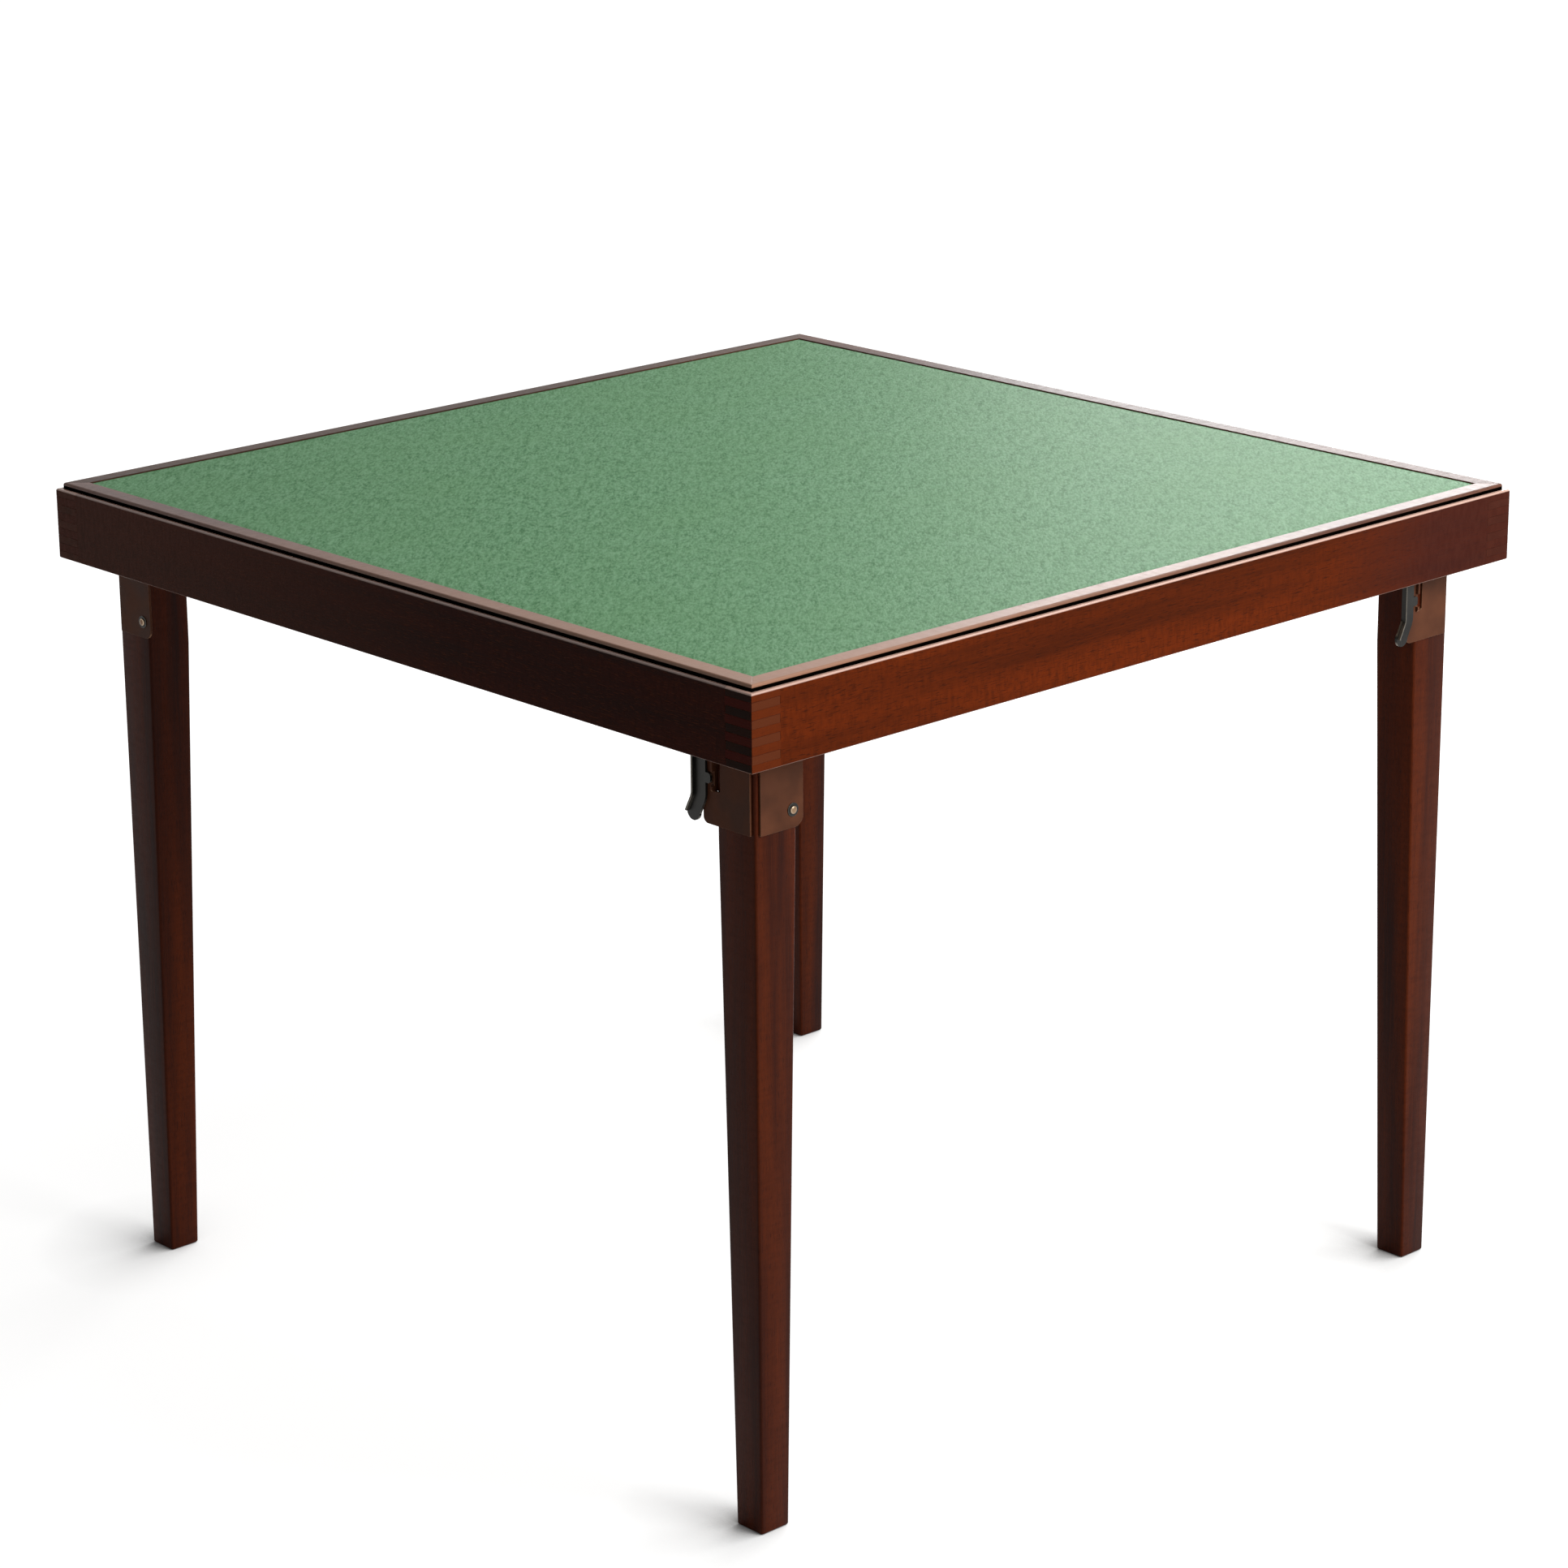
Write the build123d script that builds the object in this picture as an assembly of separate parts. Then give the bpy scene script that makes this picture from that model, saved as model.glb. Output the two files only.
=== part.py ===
from build123d import *
import os

# Folding card table. Millimetres, +Z up. The origin is on the floor, under the
# middle of the top. The front edge of the table faces -Y.
# Every corner carries the same leg and the same fittings, turned a quarter turn
# from one corner to the next, so that each leg folds along its own rail.
# One corner, front left, is drawn, and the other three are turned copies of it.

# Whole table
table_width = 860.0
table_height = 690.0
overrun = 5.0

# Apron rails, joined at the corners by interlocking fingers
apron_depth = 60.0
rail_thickness = 28.0
finger_count = 9
frame_top_round = 1.8
frame_foot_bevel = 0.8

# Rebate in the top of the rails, which leaves a thin lip outside the lipping
rim_lip = 3.8
shadow_gap = 0.8

# Mitred lipping round the playing surface
lipping_width = 16.0
lipping_rise = 5.0
lipping_outer_round = 1.8
lipping_inner_round = 0.6

# Board and the cloth glued on it
board_thickness = 7.5
baize_thickness = 1.0
baize_recess = 0.5
board_gap = 0.2

# Legs: square at the head, tapered on the two inner faces only
leg_width = 41.0
foot_width = 28.5
leg_edge_bevel = 1.4
foot_bevel = 1.8
taper_start = 10.0

# Sheet metal of the hinge bracket, and the room that the leg has in it
bracket_thickness = 2.0
bracket_clearance = 2.5
bracket_top_gap = 4.0
bracket_bottom_gap = 2.0
bracket_reach = 35.0
bracket_corner = 4.0
cheek_reach = 17.0
cheek_drop = 15.0
cheek_gap = 0.5
stop_pad_height = 8.0
stop_pad_inset = 3.0

# Keeper tongue, the part of the inner cheek that hangs below the rail
tongue_width = 15.0
tongue_drop = 66.0
tongue_corner = 2.5
tongue_setback = 2.0
keeper_notch_depth = 2.5
keeper_notch_height = 11.0

# Pivot pin of the leg
pin_rise = 29.0
pin_radius = 4.0
pin_head_radius = 6.5
pin_head_height = 2.0
pin_head_bevel = 0.8
spacer_radius = 8.0
running_fit = 0.05
fixed_fit = 0.02
side_fit = 0.1

# Steel plates on the two outer faces of the leg
plate_thickness = 2.0
plate_drop = 63.0
plate_margin = 3.5
plate_corner = 1.0
catch_plate_rise = 5.0
wing_width = 13.0
wing_corner = 5.0
slot_width = 8.5
slot_inset = 5.5
slot_drop = 38.0
slot_corner = 1.5
side_plate_overhang = 5.0
side_plate_corner = 8.0

# Catch lever, a steel strip with a hook and a turned-out edge, and its rivet
lever_thickness = 2.0
lever_width = 13.0
lever_head_radius = 5.5
lever_shoulder_round = 5.0
lever_clearance = 0.2
lever_edge_bevel = 0.4
lever_bend_radius = 14.0
lever_pivot_drop = 22.0
lever_pivot_inset = 4.2
lever_reach = 21.0
lever_straight = 49.0
lever_flare = 7.0
lever_flare_drop = 14.0
lever_tip_radius = 7.0
lever_flange_drop = 15.0
lever_flange_height = 3.2
lever_flange_thickness = 1.6
hook_height = 8.0
hook_drop = 34.0
hook_corner = 2.5
hook_clearance = 0.3
lever_rivet_radius = 2.25
lever_rivet_head_radius = 4.0
lever_rivet_head_height = 1.4
lever_rivet_head_bevel = 0.7

# Return spring, a flat strip curled round the lever's rivet
spring_width = 2.2
spring_thickness = 0.7
spring_clearance = 0.35
spring_opening = 1.8
spring_tab = 1.6

# Rivet of the side plate
plate_rivet_radius = 2.0
plate_rivet_collar_radius = 5.2
plate_rivet_collar_height = 0.7
plate_rivet_head_radius = 3.0
plate_rivet_head_height = 1.1
plate_rivet_head_bevel = 0.8
plate_rivet_length = 14.0
plate_rivet_inset = 5.5
plate_rivet_rise = 14.0

# Heights and places that follow from the sizes above
half_width = table_width / 2
rail_inner = half_width - rail_thickness
rim_z = table_height - lipping_rise
apron_z = rim_z - apron_depth
board_top_z = table_height - baize_recess - baize_thickness
shelf_z = board_top_z - board_thickness
lipping_outer = half_width - rim_lip - shadow_gap
lipping_inner = lipping_outer - lipping_width
finger_height = apron_depth / finger_count

web_face = -rail_inner + bracket_thickness
plate_face = web_face + bracket_clearance
leg_outer = plate_face + plate_thickness
leg_inner = leg_outer + leg_width
pin_x = leg_outer + leg_width / 2
pin_z = apron_z + pin_rise
plate_z = apron_z - plate_drop
taper_z = plate_z - taper_start

cheek_outer = leg_inner + cheek_gap
cheek_inner = cheek_outer + bracket_thickness
slot_low = leg_inner - slot_inset
slot_high = slot_low + slot_width
wing_edge = leg_inner + wing_width
lever_pivot_y = wing_edge - lever_pivot_inset
lever_pivot_z = pin_z - lever_pivot_drop
lever_back = plate_face - lever_clearance
lever_front = lever_back - lever_thickness
column_top = lever_pivot_z + lever_head_radius

corners = ["front_left", "front_right", "back_right", "back_left"]
quarter_turn = 90.0


def block(low, high):
    """A box between two opposite corners."""
    size = Vector(*high) - Vector(*low)
    middle = (Vector(*high) + Vector(*low)) / 2
    return Pos(middle) * Box(size.X, size.Y, size.Z)


def area(low, high):
    """A rectangle between two opposite corners, on a drawing plane."""
    middle = Pos((low[0] + high[0]) / 2, (low[1] + high[1]) / 2)
    return middle * Rectangle(high[0] - low[0], high[1] - low[1])


def across_x(drawing, low, high):
    """Raise a drawing of (Y, Z) between two X places."""
    plane = Plane((low, 0, 0), x_dir=(0, 1, 0), z_dir=(1, 0, 0))
    return extrude(plane * drawing, high - low)


def across_y(drawing, low, high):
    """Raise a drawing of (X, Z) between two Y places."""
    plane = Plane((0, high, 0), x_dir=(1, 0, 0), z_dir=(0, -1, 0))
    return extrude(plane * drawing, high - low)


def corner_at(shape, x, y):
    """The corner of a drawing that lies nearest to a point."""
    return shape.vertices().sort_by_distance((x, y, 0))[0]


# Frame


def frame_blank():
    """The whole apron as one ring, eased outside, with the rebate in its top."""
    ring = extrude(Pos(0, 0, apron_z) * Rectangle(table_width, table_width), apron_depth)
    ring = fillet(ring.faces().sort_by(Axis.Z)[-1].edges(), frame_top_round)
    ring = chamfer(ring.faces().sort_by(Axis.Z)[0].edges(), frame_foot_bevel)
    inside = block(
        (-rail_inner, -rail_inner, apron_z - overrun),
        (rail_inner, rail_inner, rim_z + overrun),
    )
    rebate_edge = half_width - rim_lip
    rebate = block(
        (-rebate_edge, -rebate_edge, shelf_z),
        (rebate_edge, rebate_edge, rim_z + overrun),
    )
    return ring - inside - rebate


def rail_share(first_finger):
    """The space of a front rail: its middle, and every second finger at its ends."""
    share = block((-rail_inner, -half_width, apron_z), (rail_inner, -rail_inner, rim_z))
    for index in range(first_finger, finger_count, 2):
        low = apron_z + index * finger_height
        high = low + finger_height
        share += block((-half_width, -half_width, low), (-rail_inner, -rail_inner, high))
        share += block((rail_inner, -half_width, low), (half_width, -rail_inner, high))
    return share


def rails():
    """Four rails. The front and back ones hold the top and bottom fingers."""
    ring = frame_blank()
    long_share = rail_share(0)
    short_share = rail_share(1)
    return {
        "rail_front": ring & long_share,
        "rail_right": ring & (Rot(0, 0, quarter_turn) * short_share),
        "rail_back": ring & (Rot(0, 0, 2 * quarter_turn) * long_share),
        "rail_left": ring & (Rot(0, 0, 3 * quarter_turn) * short_share),
    }


def lippings():
    """The raised moulding, cut into four lengths along the mitres."""
    ring = extrude(
        Pos(0, 0, shelf_z) * Rectangle(2 * lipping_outer, 2 * lipping_outer),
        table_height - shelf_z,
    )
    ring = fillet(ring.faces().sort_by(Axis.Z)[-1].edges(), lipping_outer_round)
    ring -= block(
        (-lipping_inner, -lipping_inner, shelf_z - overrun),
        (lipping_inner, lipping_inner, table_height + overrun),
    )
    inner_edges = ring.faces().sort_by(Axis.Z)[-1].inner_wires()[0].edges()
    ring = fillet(inner_edges, lipping_inner_round)
    wedge = Pos(0, 0, shelf_z) * make_face(
        Polyline((0, 0), (-half_width, -half_width), (half_width, -half_width), close=True)
    )
    share = extrude(wedge, table_height - shelf_z)
    sides = ["lipping_front", "lipping_right", "lipping_back", "lipping_left"]
    pieces = {}
    for index, name in enumerate(sides):
        pieces[name] = ring & (Rot(0, 0, index * quarter_turn) * share)
    return pieces


def playing_surface():
    """The board that lies in the rebate, and the cloth on it."""
    edge = lipping_inner - board_gap
    return {
        "top_board": block((-edge, -edge, shelf_z), (edge, edge, board_top_z)),
        "baize": block((-edge, -edge, board_top_z), (edge, edge, board_top_z + baize_thickness)),
    }


# Leg


def leg_section(width, z, inset=0):
    """A square section of the leg with bevelled corners, flush with the outer faces."""
    middle = leg_outer + width / 2
    side = width - 2 * inset
    section = Rectangle(side, side)
    return Pos(middle, middle, z) * chamfer(section.vertices(), leg_edge_bevel)


def leg():
    """Square head with a round top, and a shaft that tapers on its inner faces."""
    head = extrude(leg_section(leg_width, taper_z), pin_z + leg_width - taper_z)
    side = area((leg_outer, taper_z), (leg_inner, pin_z)) + pin_circle(leg_width / 2)
    head &= across_y(side, leg_outer, leg_inner)
    shaft = loft(
        [
            leg_section(foot_width, 0, foot_bevel),
            leg_section(foot_width, foot_bevel),
            leg_section(leg_width, taper_z),
        ],
        ruled=True,
    )
    bore = across_y(pin_circle(pin_radius + running_fit), leg_outer - overrun, leg_inner + overrun)
    return head + shaft - bore - plate_rivet(fixed_fit)


def pin_circle(radius):
    """A circle round the leg's pivot, on an (X, Z) drawing."""
    return Pos(pin_x, pin_z) * Circle(radius)


def plate_rivet(extra):
    """The rivet that holds the side plate to the leg, with an optional fit."""
    x = leg_inner - plate_rivet_inset
    z = plate_z + plate_rivet_rise
    radius = plate_rivet_radius + extra
    shank = across_y(Pos(x, z) * Circle(radius), plate_face, plate_face + plate_rivet_length)
    if extra:
        return shank
    collar_face = plate_face - plate_rivet_collar_height
    collar = across_y(Pos(x, z) * Circle(plate_rivet_collar_radius), collar_face, plate_face)
    head_face = collar_face - plate_rivet_head_height
    head = across_y(Pos(x, z) * Circle(plate_rivet_head_radius), head_face, collar_face)
    head = chamfer(head.faces().sort_by(Axis.Y)[0].edges(), plate_rivet_head_bevel)
    return shank + collar + head


# Hinge bracket, fixed to the frame


def inner_cheek():
    """The cheek that carries the pin's head, with the keeper tongue below it."""
    top_z = rim_z - bracket_top_gap
    upper = area((-rail_inner, pin_z - cheek_drop), (pin_x + cheek_reach, top_z))
    upper = fillet(corner_at(upper, pin_x + cheek_reach, top_z), bracket_corner)
    upper = fillet(corner_at(upper, pin_x + cheek_reach, pin_z - cheek_drop), bracket_corner)
    tongue_left = -rail_inner + tongue_setback
    tongue_right = tongue_left + tongue_width
    tongue_z = pin_z - tongue_drop
    tongue = area((tongue_left, tongue_z), (tongue_right, pin_z))
    tongue = fillet(corner_at(tongue, tongue_left, tongue_z), tongue_corner)
    tongue = fillet(corner_at(tongue, tongue_right, tongue_z), tongue_corner)
    hook_z = lever_pivot_z - hook_drop
    notch = area(
        (tongue_left - overrun, hook_z - keeper_notch_height / 2),
        (tongue_left + keeper_notch_depth, hook_z + keeper_notch_height / 2),
    )
    outline = upper + tongue - notch - pin_circle(pin_radius + fixed_fit)
    return across_y(outline, cheek_outer, cheek_inner)


def hinge_bracket():
    """Web on the left rail, a cheek on the front rail, and the inner cheek."""
    low_z = apron_z + bracket_bottom_gap
    top_z = rim_z - bracket_top_gap
    web = block((-rail_inner, -rail_inner, low_z), (web_face, cheek_inner, top_z))
    reach = pin_x + bracket_reach
    cheek = area((-rail_inner, low_z), (reach, top_z))
    cheek = fillet(corner_at(cheek, reach, top_z), bracket_corner)
    cheek = fillet(corner_at(cheek, reach, low_z), bracket_corner)
    cheek -= pin_circle(pin_radius + fixed_fit)
    stop_pad = block(
        (web_face, leg_outer + plate_margin + stop_pad_inset, low_z),
        (plate_face, slot_low - stop_pad_inset, low_z + stop_pad_height),
    )
    return web + across_y(cheek, -rail_inner, web_face) + inner_cheek() + stop_pad


def pivot_pin():
    """Pin through both cheeks and the leg, headed over on the inner cheek."""
    shank = across_y(pin_circle(pin_radius), -rail_inner, cheek_inner + pin_head_height)
    head = across_y(pin_circle(pin_head_radius), cheek_inner, cheek_inner + pin_head_height)
    rim = head.faces().sort_by(Axis.Y)[-1].edges()
    head = chamfer(rim, pin_head_bevel)
    return shank + head


def pivot_spacer():
    """Washer on the pin that fills the room between the cheek and the side plate."""
    ring = pin_circle(spacer_radius) - pin_circle(pin_radius + fixed_fit)
    return across_y(ring, web_face, plate_face - side_fit)


# Plates, fixed to the leg


def side_plate():
    """Plate on the front face of the leg. The pin passes through its round top."""
    left = leg_outer + plate_margin
    right = leg_inner + side_plate_overhang
    outline = area((left, plate_z), (right, pin_z))
    outline += pin_circle(leg_width / 2) & area((left, pin_z), (right, pin_z + leg_width))
    outline = fillet(corner_at(outline, left, plate_z), plate_corner)
    outline = fillet(corner_at(outline, right, plate_z), side_plate_corner)
    outline -= pin_circle(pin_radius + running_fit)
    plate = across_y(outline, plate_face, leg_outer)
    return plate - plate_rivet(fixed_fit)


def catch_plate():
    """Plate on the left face of the leg, with the wing that carries the lever.

    The slot is open at the top, so that the plate swings clear of the tongue.
    """
    left = leg_outer + plate_margin
    slot_z = apron_z - slot_drop
    slot = area((slot_low, slot_z), (slot_high, column_top + overrun))
    slot = fillet(corner_at(slot, slot_low, slot_z), slot_corner)
    slot = fillet(corner_at(slot, slot_high, slot_z), slot_corner)
    outline = area((left, plate_z), (wing_edge, column_top))
    outline += area((left, column_top), (slot_low, pin_z + catch_plate_rise))
    outline -= slot
    outline = fillet(corner_at(outline, left, plate_z), plate_corner)
    outline = fillet(corner_at(outline, wing_edge, plate_z), wing_corner)
    outline = fillet(corner_at(outline, wing_edge, column_top), wing_corner / 2)
    outline -= Pos(lever_pivot_y, lever_pivot_z) * Circle(lever_rivet_radius + fixed_fit)
    return across_x(outline, plate_face, leg_outer)


# Catch


def catch_lever():
    """Strip that hangs from its rivet, flares out at the finger end and hooks the tongue.

    Its outer edge is turned outwards below the apron, for the fingers.
    """
    head = Pos(lever_pivot_y, lever_pivot_z) * Circle(lever_head_radius)
    strip_edge = leg_inner + lever_reach
    strip_y = strip_edge - lever_width / 2
    knee = (strip_y, lever_pivot_z - lever_straight)
    tip = (strip_y + lever_flare, knee[1] - lever_flare_drop)
    path = FilletPolyline((strip_y, lever_pivot_z), knee, tip, radius=lever_bend_radius)
    outline = trace(path, lever_width)
    outline = fillet(corner_at(outline, strip_edge, lever_pivot_z), lever_shoulder_round)
    outline += head + Pos(*tip) * Circle(lever_tip_radius)
    hook_z = lever_pivot_z - hook_drop
    hook = area(
        (cheek_inner + hook_clearance, hook_z - hook_height / 2),
        (strip_y, hook_z + hook_height / 2),
    )
    hook = fillet(corner_at(hook, cheek_inner, hook_z - hook_height), hook_corner)
    hook = fillet(corner_at(hook, cheek_inner, hook_z + hook_height), hook_corner)
    outline += hook
    edge_y = strip_edge - lever_flange_thickness / 2
    edge_path = FilletPolyline(
        (edge_y, lever_pivot_z - lever_flange_drop),
        (edge_y, knee[1]),
        (edge_y + lever_flare, tip[1]),
        radius=lever_bend_radius,
    )
    flange = across_x(
        trace(edge_path, lever_flange_thickness),
        lever_front - lever_flange_height,
        lever_front,
    )
    flange = chamfer(flange.faces().sort_by(Axis.X)[0].edges(), lever_edge_bevel)
    hole = across_x(
        Pos(lever_pivot_y, lever_pivot_z) * Circle(lever_rivet_radius + running_fit),
        lever_front,
        lever_back,
    )
    return across_x(outline, lever_front, lever_back) + flange - hole


def lever_rivet():
    """Rivet through the lever, the wing and the spring, headed at both ends."""
    middle = Pos(lever_pivot_y, lever_pivot_z)
    outer_face = lever_front - side_fit
    inner_face = leg_outer + spring_width + 2 * side_fit
    shank = across_x(middle * Circle(lever_rivet_radius), outer_face, inner_face)
    outer = across_x(
        middle * Circle(lever_rivet_head_radius),
        outer_face - lever_rivet_head_height,
        outer_face,
    )
    outer = chamfer(outer.faces().sort_by(Axis.X)[0].edges(), lever_rivet_head_bevel)
    inner = across_x(
        middle * Circle(lever_rivet_head_radius),
        inner_face,
        inner_face + lever_rivet_head_height,
    )
    return outer + shank + inner


def lever_spring():
    """Curled strip on the inner side of the wing, hooked over its edge to the lever."""
    inner_radius = lever_rivet_radius + spring_clearance
    outer_radius = inner_radius + spring_thickness
    middle = Pos(lever_pivot_y, lever_pivot_z)
    low_x = leg_outer + side_fit
    high_x = low_x + spring_width
    curl = middle * (Circle(outer_radius) - Circle(inner_radius))
    gap = area(
        (lever_pivot_y - outer_radius - overrun, lever_pivot_z - spring_opening),
        (lever_pivot_y, lever_pivot_z),
    )
    curl -= gap
    tab_y = wing_edge + side_fit
    arm = area(
        (lever_pivot_y, lever_pivot_z - outer_radius),
        (tab_y + spring_thickness, lever_pivot_z - inner_radius),
    )
    spring = across_x(curl + arm, low_x, high_x)
    tab = block(
        (lever_back, tab_y, lever_pivot_z - outer_radius - spring_tab),
        (high_x, tab_y + spring_thickness, lever_pivot_z - inner_radius),
    )
    return spring + tab


def corner_fittings():
    """Every piece of the front left corner, by the stem of its name."""
    return {
        "leg": leg(),
        "hinge_bracket": hinge_bracket(),
        "pivot_pin": pivot_pin(),
        "pivot_spacer": pivot_spacer(),
        "side_plate": side_plate(),
        "plate_rivet": plate_rivet(0),
        "catch_plate": catch_plate(),
        "catch_lever": catch_lever(),
        "lever_rivet": lever_rivet(),
        "lever_spring": lever_spring(),
    }


def main():
    os.makedirs("parts", exist_ok=True)
    pieces = rails()
    pieces.update(lippings())
    pieces.update(playing_surface())
    fittings = corner_fittings()
    for index, corner in enumerate(corners):
        for stem, piece in fittings.items():
            pieces[f"{stem}_{corner}"] = Rot(0, 0, index * quarter_turn) * piece
    for name, piece in pieces.items():
        export_step(piece, f"parts/{name}.step")


main()
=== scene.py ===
import math

import bmesh
import bpy
from mathutils import Matrix, Vector, noise


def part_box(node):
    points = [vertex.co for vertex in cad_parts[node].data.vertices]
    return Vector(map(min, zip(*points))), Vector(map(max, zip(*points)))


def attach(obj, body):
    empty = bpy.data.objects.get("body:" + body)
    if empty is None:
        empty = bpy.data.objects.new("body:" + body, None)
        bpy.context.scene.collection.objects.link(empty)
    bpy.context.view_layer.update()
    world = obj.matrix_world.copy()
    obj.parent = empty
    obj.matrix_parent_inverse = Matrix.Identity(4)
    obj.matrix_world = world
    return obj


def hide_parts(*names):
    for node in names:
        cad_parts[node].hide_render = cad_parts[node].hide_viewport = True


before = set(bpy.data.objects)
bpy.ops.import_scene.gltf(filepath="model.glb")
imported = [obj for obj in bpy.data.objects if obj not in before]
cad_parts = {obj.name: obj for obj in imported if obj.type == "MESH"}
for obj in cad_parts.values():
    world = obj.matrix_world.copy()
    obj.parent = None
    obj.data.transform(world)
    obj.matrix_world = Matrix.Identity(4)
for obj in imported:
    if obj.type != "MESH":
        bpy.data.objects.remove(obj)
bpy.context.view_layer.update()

# Folding card table, in metres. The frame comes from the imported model, and each piece
# takes its place from the nodes. Corners follow each other by quarter turns.

CORNERS = ["front_left", "front_right", "back_right", "back_left"]
SIDES = ["front", "right", "back", "left"]
QUARTER = math.pi / 2
MM = 0.001

# Legs: the rounding of their long edges, the width and rounding of the foot, and how far
# below the plates the taper starts
LEG_EDGE_RADIUS = 2.0 * MM
FOOT_WIDTH = 28.5 * MM
FOOT_ROUNDING = 1.6 * MM
TAPER_BELOW_PLATE = 10.0 * MM

# Steps in a long edge's rounding, in the foot's and in the half-round head's quarter, and
# the share of the head's half width that the rounding may take near its top
EDGE_STEPS = 5
FOOT_STEPS = 3
HEAD_STEPS = 14
HEAD_ROUNDING_SHARE = 0.9

# How far each kind of edge is eased, and the steps of the easing
RAIL_EASE = 0.30 * MM
LIPPING_EASE = 0.25 * MM
PLATE_EASE = 0.45 * MM
FITTING_EASE = 0.20 * MM
SPRING_EASE = 0.10 * MM
BOARD_EASE = 0.30 * MM
EASE_STEPS = 2

# Cleaning of a solid's mesh: points nearer than this are one, faces that meet at less than
# the flat angle are one, and edges above the sharp angle are eased
MERGE_DISTANCE = 0.002 * MM
FLAT_ANGLE = math.radians(0.4)
SHARP_ANGLE = math.radians(28)

# Shading stays smooth over edges below these angles
EASED_SMOOTH = math.radians(50)
LEG_SMOOTH = math.radians(35)
BAIZE_SMOOTH = math.radians(40)
SCREW_SMOOTH = math.radians(30)

# Slot in the catch plate, from the rails' foot down. Its bottom is drawn a little higher
# than the solid's, which closes a sliver of daylight under the tongue.
SLOT_DROP = 38.0 * MM
SLOT_ROUNDING = 1.5 * MM
SLOT_RISE = 1.5 * MM

# Baize: its grid, the height and width of its swells, how its edge rolls down, and the
# width of the darker line there
BAIZE_CELLS = 120
BAIZE_SWELL = 0.12 * MM
SWELLS_PER_METRE = 9
SWELL_SEED = 3.7
BAIZE_EDGE_ROLL = 2.2 * MM
BAIZE_EDGE_DROP = 0.35 * MM
EDGE_LINE_WIDTH = 1.6 * MM
NAP_TURN = math.radians(45)

# Lacquers: their gloss from 0 to 1, and the roughness of the wood that hands have polished
RAIL_GLOSS = 0.02
LEG_GLOSS = 0.05
POLISHED_GLOSS = 0.28
DULLED_GLOSS = POLISHED_GLOSS / 3
RUBBED_ROUGHNESS = 0.28

# The pale tone of the rails' painted highlight, the black of the lipping's painted
# shadow, and the height of that black foot of the lipping
PAINTED_HIGHLIGHT_WOOD = "E6BBA8"
PAINTED_SHADOW_BLACK = "040201"
SHADOW_LINE = 2.8 * MM

# A painted sheen: the lipping's pale tone towards the front left corner, and how far
# from the corner it is full and ends
CORNER_PAINTED_SHEEN = "C08E70"
CORNER_SHEEN_REACH = (0.10, 0.65)

# A painted reflection: the purplish brown tone at the right hand end of the rails. Its two
# tones, where it starts and is full, and its strength on end grain
RIGHT_END_PAINTED_REFLECTION = ("3F1D18", "49241D")
PAINTED_REFLECTION_REACH = (0.20, 0.33)
PAINTED_REFLECTION_ON_END = 0.80

# The paler, greyer back of the side rails and of the end grain there: its two tones,
# where it starts and is full, and its strength on end grain
BACK_PALE_TONES = ("6E4739", "84574A")
BACK_PALE_REACH = (-0.10, 0.32)
BACK_PALE_ON_END = 0.70

# How far down a rail's top edge, and up its foot, the painted highlight reaches, and
# how wide the edge of each band fades
TOP_HIGHLIGHT_HEIGHT = 2.6 * MM
FOOT_HIGHLIGHT_HEIGHT = 1.3 * MM
BAND_FADE = 0.5 * MM

# Slotted countersunk screws. Shares are of the head's radius.
SCREW_HEAD_RADIUS = 3.8 * MM
SCREW_HEAD_DEPTH = 1.5 * MM
SCREW_CROWN = 0.35 * MM
SCREW_CROWN_SHARE = 0.6
SCREW_FOOT_SHARE = 0.5
SCREW_SLOT_WIDTH = 0.9 * MM
SCREW_SLOT_DEPTH = 0.8 * MM
SCREW_SIDES = 32
SCREW_SEED = 7

# Where the screws sit: a row's count and pitch, the gap from the catch plate out to the
# bracket's web, and the first screw's place from the edges of its sheet
ROW_COUNT = 2
SCREW_PITCH = 23.0 * MM
WEB_GAP = 2.5 * MM
BRACKET_SCREW_TOP = 8.0 * MM
BRACKET_SCREW_END = 7.0 * MM
PLATE_SCREW_TOP = 9.0 * MM
PLATE_SCREW_SIDE = 14.0 * MM

# Domed button in the middle of each plate rivet: radius and rise above its seat
BUTTON_PROFILE = [
    (3.15 * MM, 0.0), (3.15 * MM, 0.5 * MM), (2.9 * MM, 0.9 * MM), (2.3 * MM, 1.2 * MM),
    (1.5 * MM, 1.4 * MM), (0.5 * MM, 1.48 * MM),
]
BUTTON_SEAT = 1.2 * MM
BUTTON_SIDES = 28

# Camera, fitted to the photograph's corners and feet
CAMERA_PLACE = (-2.5417, -2.7229, 1.6037)
CAMERA_HEADING = math.radians(46.938)
CAMERA_TILT = math.radians(17.545)
CAMERA_ROLL = math.radians(-0.429)
CAMERA_FOCAL_PIXELS = 5642.7
IMAGE_PIXELS = 1932
SENSOR_WIDTH = 36.0

# Backdrop paper: its tone, and its own light, where 1 is white
PAPER_LIGHT = "BCBCBB"
PAPER_DARK = "B4B4B3"
PAPER_GLOW = 0.79
PAPER_FADE = (0.6, 1.9)

# Contact shadow: how far it reaches from a foot, how much of the glow it leaves, and the
# way that a point of the paper looks for the foot, so that the shadow falls to the left
CONTACT_REACH = 110 * MM
CONTACT_DARK = 0.05
CONTACT_LOOK = (0.50, -0.46, 0.73)

# World light: the side that it is stronger from, and its strength there and opposite
BRIGHT_SIDE = (0.75, -0.55, 0.37)
WORLD_HIGH = 0.38
WORLD_LOW = 0.02
WORLD_SPREAD = (-0.35, 0.9)

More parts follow.
